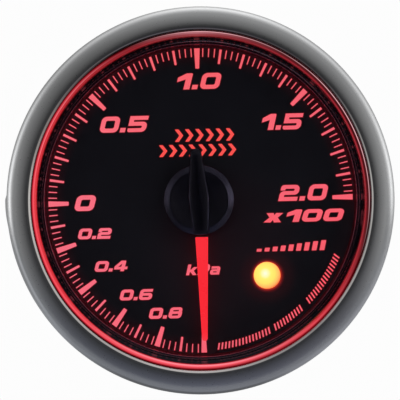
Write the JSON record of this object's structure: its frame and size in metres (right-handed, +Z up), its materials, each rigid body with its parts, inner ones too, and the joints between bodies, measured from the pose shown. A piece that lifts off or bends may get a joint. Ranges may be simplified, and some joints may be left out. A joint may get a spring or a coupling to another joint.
{
  "type": "boost gauge",
  "caption": "Round dashboard boost gauge with a lit pointer, red light ring and geared stepper movement in a sealed case.",
  "frame": {"origin": "on the gauge's axis, in the plane of the bezel's rear face, where it seats on the panel", "axes": "+Y along the gauge's axis towards the rear connectors, so the dial faces -Y; +Z up on the dial, where the scale reads 1.0; +X to the right as the dial is read"},
  "size_m": [0.0634, 0.0504, 0.063],
  "materials": {
    "bezel_metal": "satin anodised gunmetal, polished inner chamfer",
    "smoked_lens": "smoked clear, gloss",
    "gasket_rubber": "matte",
    "halo_acrylic": "translucent red light pipe, gloss",
    "shroud_gloss_black": "gloss",
    "dial_black": "fine matte print ground",
    "needle_red": "translucent red, lit from its root",
    "hub_black": "satin moulded",
    "boss_black": "moulded",
    "shaft_steel": "ground",
    "gear_acetal": "natural acetal, satin",
    "rotor_steel": "ground",
    "magnet_ferrite": "ground ferrite, matte",
    "lamp_amber": "translucent amber, gloss",
    "led_epoxy": "tinted epoxy, gloss",
    "clear_acrylic": "polished clear acrylic",
    "white_abs": "reflective white, matte",
    "pcb_green": "solder mask, satin",
    "chip_white": "ceramic body, satin",
    "screw_steel": "zinc plated",
    "motor_black": "moulded, fine grain",
    "stator_iron": "silicon steel sheet",
    "bobbin_natural": "moulded, satin",
    "coil_copper": "enamelled copper wire, gloss",
    "contact_tin": "tinned",
    "contact_brass": "gold flashed",
    "header_black": "moulded",
    "chip_black": "epoxy, fine matte",
    "can_aluminium": "bright can",
    "socket_white": "natural nylon, satin",
    "socket_black": "nylon, satin",
    "case_black": "glass-filled, fine grain"
  },
  "bodies": {
    "housing": {"bezel_ring": "bezel_metal", "lens": "smoked_lens", "lens_gasket": "gasket_rubber", "halo_light_ring": "halo_acrylic", "dial_shroud": "shroud_gloss_black", "dial_face": "dial_black", "warning_lamp_lens": "lamp_amber", "warning_led": "led_epoxy", "light_guide": "clear_acrylic", "reflector_housing": "white_abs", "led_board": "pcb_green", "dial_leds": "chip_white", "pointer_leds": "chip_white", "halo_leds": "chip_white", "board_screws": "screw_steel", "motor_case_front": "motor_black", "motor_case_rear": "motor_black", "stator_core": "stator_iron", "motor_bobbins": "bobbin_natural", "motor_coils": "coil_copper", "motor_pins": "contact_tin", "driver_board": "pcb_green", "board_header": "header_black", "header_pins": "contact_brass", "mcu_chip": "chip_black", "voltage_regulator": "chip_black", "capacitors": "can_aluminium", "power_socket": "socket_white", "power_socket_pins": "contact_brass", "sensor_socket": "socket_black", "sensor_socket_pins": "contact_brass", "case": "case_black", "rear_seal": "gasket_rubber", "rear_cover": "case_black", "cover_screws": "screw_steel", "mounting_studs": "screw_steel"},
    "pointer": {"needle": "needle_red", "hub_cap": "hub_black", "pointer_boss": "boss_black", "pointer_shaft": "shaft_steel", "output_gear": "gear_acetal"},
    "intermediate": {"intermediate_gear": "gear_acetal"},
    "rotor": {"rotor_pinion": "rotor_steel", "rotor_magnet": "magnet_ferrite"}
  },
  "joints": [
    {"name": "pointer_sweep", "type": "hinge", "parent": "housing", "child": "pointer", "pos_m": [0, 0, 0], "axis": [0, 1, 0], "range_deg": [0, 270]},
    {"name": "intermediate_spin", "type": "hinge", "parent": "housing", "child": "intermediate", "pos_m": [-0.0052, 0, -0.00901], "axis": [0, 1, 0], "range_deg": [-3240, 0]},
    {"name": "rotor_spin", "type": "hinge", "parent": "housing", "child": "rotor", "pos_m": [0.00407, 0, -0.01149], "axis": [0, 1, 0], "range_deg": [0, 48600]}
  ],
  "couplings": [
    {"joint": "intermediate_spin", "follows": "pointer_sweep", "ratio": -12},
    {"joint": "rotor_spin", "follows": "pointer_sweep", "ratio": 180}
  ]
}
